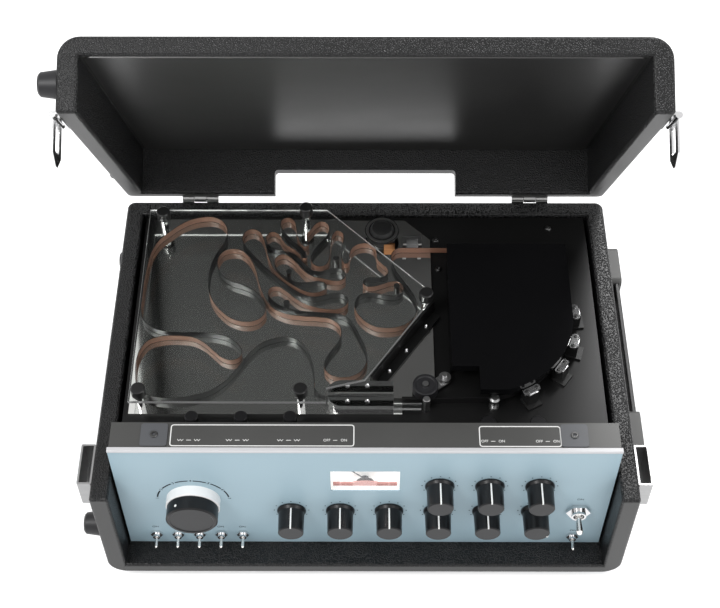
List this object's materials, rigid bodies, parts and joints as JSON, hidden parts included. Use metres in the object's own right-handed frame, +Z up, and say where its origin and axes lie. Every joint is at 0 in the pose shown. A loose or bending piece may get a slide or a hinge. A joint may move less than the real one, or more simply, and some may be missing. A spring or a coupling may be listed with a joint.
{
  "type": "tape echo unit",
  "caption": "Portable tape echo unit: hinged-lid cabinet, open tape deck with an endless tape loop in a clear-covered bin, and a front panel of knobs, toggles and a level meter.",
  "frame": {"origin": "bottom centre of the whole object with its lid open as pictured, on the plane under the feet", "axes": "+X to the right seen from the front, +Y to the rear, +Z up"},
  "size_m": [0.451, 0.3542, 0.4233],
  "materials": {
    "covering": "pebbled black covering over wood",
    "rubber": "matt black rubber",
    "chrome": "polished chrome",
    "light_metal": "satin light metal",
    "strap": "matt black moulded strap",
    "dark_sheet": "satin black paint",
    "blue_panel": "satin steel blue paint with a bright edge",
    "screws": "bright zinc plate",
    "bin_metal": "dark polished metal",
    "clear": "clear acrylic",
    "clear_block": "clear acrylic block",
    "tape": "brown magnetic tape",
    "knob_black": "black knob",
    "white_plastic": "white plastic",
    "meter_face": "white meter face",
    "window": "meter glass",
    "needle": "black needle",
    "steel": "plain steel",
    "black_plastic": "black moulded plastic"
  },
  "bodies": {
    "cabinet": {"base_cabinet": "covering", "rubber_feet": "rubber", "hinge_bases": "chrome", "handle_caps": "light_metal", "handle_strap": "strap", "latch_catches": "chrome", "chassis": "steel", "front_panel": "blue_panel", "control_strip": "dark_sheet", "machine_screws": "screws", "deck_plate": "dark_sheet", "bin_plate": "bin_metal", "bin_cover": "clear", "thumb_screws": "screws", "tape_loop": "tape", "guide_posts": "chrome", "head_cover": "dark_sheet", "tape_heads": "chrome", "tape_chute": "clear_block", "tape_fence": "dark_sheet", "selector_ring": "white_plastic", "meter_housing": "meter_face", "meter_window": "window", "rear_panel": "steel", "rear_connectors": "black_plastic", "motor": "steel"},
    "lid": {"lid_shell": "covering", "lid_feet": "rubber", "lid_hinge_leaves": "chrome", "latch_plates": "chrome"},
    "latch_hasp_right": {"latch_hasp_right": "chrome"},
    "latch_hasp_left": {"latch_hasp_left": "chrome"},
    "selector_knob": {"selector_knob": "knob_black"},
    "pot_knob_1": {"pot_knob_1": "knob_black"},
    "pot_knob_2": {"pot_knob_2": "knob_black"},
    "pot_knob_3": {"pot_knob_3": "knob_black"},
    "pot_knob_4": {"pot_knob_4": "knob_black"},
    "pot_knob_5": {"pot_knob_5": "knob_black"},
    "pot_knob_6": {"pot_knob_6": "knob_black"},
    "pot_knob_7": {"pot_knob_7": "knob_black"},
    "pot_knob_8": {"pot_knob_8": "knob_black"},
    "pot_knob_9": {"pot_knob_9": "knob_black"},
    "mode_toggle_1": {"mode_toggle_1": "chrome"},
    "mode_toggle_2": {"mode_toggle_2": "chrome"},
    "mode_toggle_3": {"mode_toggle_3": "chrome"},
    "mode_toggle_4": {"mode_toggle_4": "chrome"},
    "mode_toggle_5": {"mode_toggle_5": "chrome"},
    "small_toggle": {"small_toggle": "chrome"},
    "power_toggle": {"power_toggle": "chrome"},
    "meter_needle": {"meter_needle": "needle"},
    "deck_knob_1": {"deck_knob_1": "knob_black"},
    "deck_knob_2": {"deck_knob_2": "knob_black"},
    "deck_knob_3": {"deck_knob_3": "knob_black"},
    "deck_toggle": {"deck_toggle": "chrome"},
    "record_switch": {"record_switch": "knob_black"},
    "erase_switch": {"erase_switch": "knob_black"},
    "guide_roller": {"guide_roller": "black_plastic"},
    "capstan": {"capstan": "steel"},
    "pinch_arm": {"pinch_arm": "steel"},
    "pinch_roller": {"pinch_roller": "rubber"}
  },
  "joints": [
    {"name": "lid_hinge", "type": "hinge", "parent": "cabinet", "child": "lid", "pos_m": [0, 0.13187, 0.1305], "axis": [-1, 0, 0], "range_deg": [-59.3, 40.7]},
    {"name": "latch_right_swing", "type": "hinge", "parent": "lid", "child": "latch_hasp_right", "pos_m": [0.21825, -0.00517, 0.36895], "axis": [0, -0.5105, 0.8599], "range_deg": [-5, 100]},
    {"name": "latch_left_swing", "type": "hinge", "parent": "lid", "child": "latch_hasp_left", "pos_m": [-0.21825, -0.00517, 0.36895], "axis": [0, 0.5105, -0.8599], "range_deg": [-5, 100]},
    {"name": "selector_turn", "type": "hinge", "parent": "cabinet", "child": "selector_knob", "pos_m": [-0.1365, -0.15513, 0.094], "axis": [0, 1, 0], "range_deg": [-45, 120]},
    {"name": "pot_knob_1_turn", "type": "hinge", "parent": "cabinet", "child": "pot_knob_1", "pos_m": [-0.059, -0.15513, 0.0765], "axis": [0, 1, 0], "range_deg": [-150, 150]},
    {"name": "pot_knob_2_turn", "type": "hinge", "parent": "cabinet", "child": "pot_knob_2", "pos_m": [-0.0197, -0.15513, 0.0765], "axis": [0, 1, 0], "range_deg": [-150, 150]},
    {"name": "pot_knob_3_turn", "type": "hinge", "parent": "cabinet", "child": "pot_knob_3", "pos_m": [0.0196, -0.15513, 0.0765], "axis": [0, 1, 0], "range_deg": [-150, 150]},
    {"name": "pot_knob_4_turn", "type": "hinge", "parent": "cabinet", "child": "pot_knob_4", "pos_m": [0.0589, -0.15513, 0.0765], "axis": [0, 1, 0], "range_deg": [-150, 150]},
    {"name": "pot_knob_5_turn", "type": "hinge", "parent": "cabinet", "child": "pot_knob_5", "pos_m": [0.0982, -0.15513, 0.0765], "axis": [0, 1, 0], "range_deg": [-150, 150]},
    {"name": "pot_knob_6_turn", "type": "hinge", "parent": "cabinet", "child": "pot_knob_6", "pos_m": [0.1375, -0.15513, 0.0765], "axis": [0, 1, 0], "range_deg": [-266, 34]},
    {"name": "pot_knob_7_turn", "type": "hinge", "parent": "cabinet", "child": "pot_knob_7", "pos_m": [0.0589, -0.15513, 0.116], "axis": [0, 1, 0], "range_deg": [-150, 150]},
    {"name": "pot_knob_8_turn", "type": "hinge", "parent": "cabinet", "child": "pot_knob_8", "pos_m": [0.0982, -0.15513, 0.116], "axis": [0, 1, 0], "range_deg": [-150, 150]},
    {"name": "pot_knob_9_turn", "type": "hinge", "parent": "cabinet", "child": "pot_knob_9", "pos_m": [0.1375, -0.15513, 0.116], "axis": [0, 1, 0], "range_deg": [-150, 150]},
    {"name": "mode_toggle_1_throw", "type": "hinge", "parent": "cabinet", "child": "mode_toggle_1", "pos_m": [-0.1721, -0.15662, 0.0375], "axis": [-1, 0, 0], "range_deg": [0, 24]},
    {"name": "mode_toggle_2_throw", "type": "hinge", "parent": "cabinet", "child": "mode_toggle_2", "pos_m": [-0.15425, -0.15662, 0.0375], "axis": [-1, 0, 0], "range_deg": [0, 24]},
    {"name": "mode_toggle_3_throw", "type": "hinge", "parent": "cabinet", "child": "mode_toggle_3", "pos_m": [-0.1364, -0.15662, 0.0375], "axis": [-1, 0, 0], "range_deg": [0, 24]},
    {"name": "mode_toggle_4_throw", "type": "hinge", "parent": "cabinet", "child": "mode_toggle_4", "pos_m": [-0.11855, -0.15662, 0.0375], "axis": [-1, 0, 0], "range_deg": [0, 24]},
    {"name": "mode_toggle_5_throw", "type": "hinge", "parent": "cabinet", "child": "mode_toggle_5", "pos_m": [-0.1007, -0.15662, 0.0375], "axis": [-1, 0, 0], "range_deg": [0, 24]},
    {"name": "small_toggle_throw", "type": "hinge", "parent": "cabinet", "child": "small_toggle", "pos_m": [0.1721, -0.15662, 0.0349], "axis": [-1, 0, 0], "range_deg": [0, 24]},
    {"name": "power_toggle_throw", "type": "hinge", "parent": "cabinet", "child": "power_toggle", "pos_m": [0.172, -0.15662, 0.0773], "axis": [-1, 0, 0], "range_deg": [0, 24]},
    {"name": "meter_needle_swing", "type": "hinge", "parent": "cabinet", "child": "meter_needle", "pos_m": [0.0003, -0.14613, 0.1124], "axis": [0, 1, 0], "range_deg": [0, 84], "stiffness_Nm_per_rad": 0.0002},
    {"name": "deck_knob_1_turn", "type": "hinge", "parent": "cabinet", "child": "deck_knob_1", "pos_m": [-0.137, -0.10912, 0.127], "axis": [0, 0, 1], "range_deg": [-150, 150]},
    {"name": "deck_knob_2_turn", "type": "hinge", "parent": "cabinet", "child": "deck_knob_2", "pos_m": [-0.098, -0.10912, 0.127], "axis": [0, 0, 1], "range_deg": [-150, 150]},
    {"name": "deck_knob_3_turn", "type": "hinge", "parent": "cabinet", "child": "deck_knob_3", "pos_m": [-0.059, -0.10912, 0.127], "axis": [0, 0, 1], "range_deg": [-150, 150]},
    {"name": "deck_toggle_throw", "type": "hinge", "parent": "cabinet", "child": "deck_toggle", "pos_m": [-0.022, -0.11313, 0.1285], "axis": [0, 1, 0], "range_deg": [0, 24]},
    {"name": "record_switch_turn", "type": "hinge", "parent": "cabinet", "child": "record_switch", "pos_m": [0.098, -0.10912, 0.127], "axis": [0, 0, -1], "range_deg": [0, 60]},
    {"name": "erase_switch_turn", "type": "hinge", "parent": "cabinet", "child": "erase_switch", "pos_m": [0.1375, -0.10912, 0.127], "axis": [0, 0, -1], "range_deg": [0, 60]},
    {"name": "guide_roller_spin", "type": "hinge", "parent": "cabinet", "child": "guide_roller", "pos_m": [0.0148, 0.08787, 0.129], "axis": [0, 0, 1], "continuous": true},
    {"name": "capstan_spin", "type": "hinge", "parent": "cabinet", "child": "capstan", "pos_m": [0.0493, -0.09042, 0.127], "axis": [0, 0, 1], "continuous": true},
    {"name": "pinch_arm_lift", "type": "hinge", "parent": "cabinet", "child": "pinch_arm", "pos_m": [0.065, -0.06413, 0.129], "axis": [0, 0, -1], "range_deg": [0, 10], "stiffness_Nm_per_rad": 0.05},
    {"name": "pinch_roller_spin", "type": "hinge", "parent": "pinch_arm", "child": "pinch_roller", "pos_m": [0.0488, -0.07612, 0.129], "axis": [0, 0, 1], "continuous": true}
  ]
}
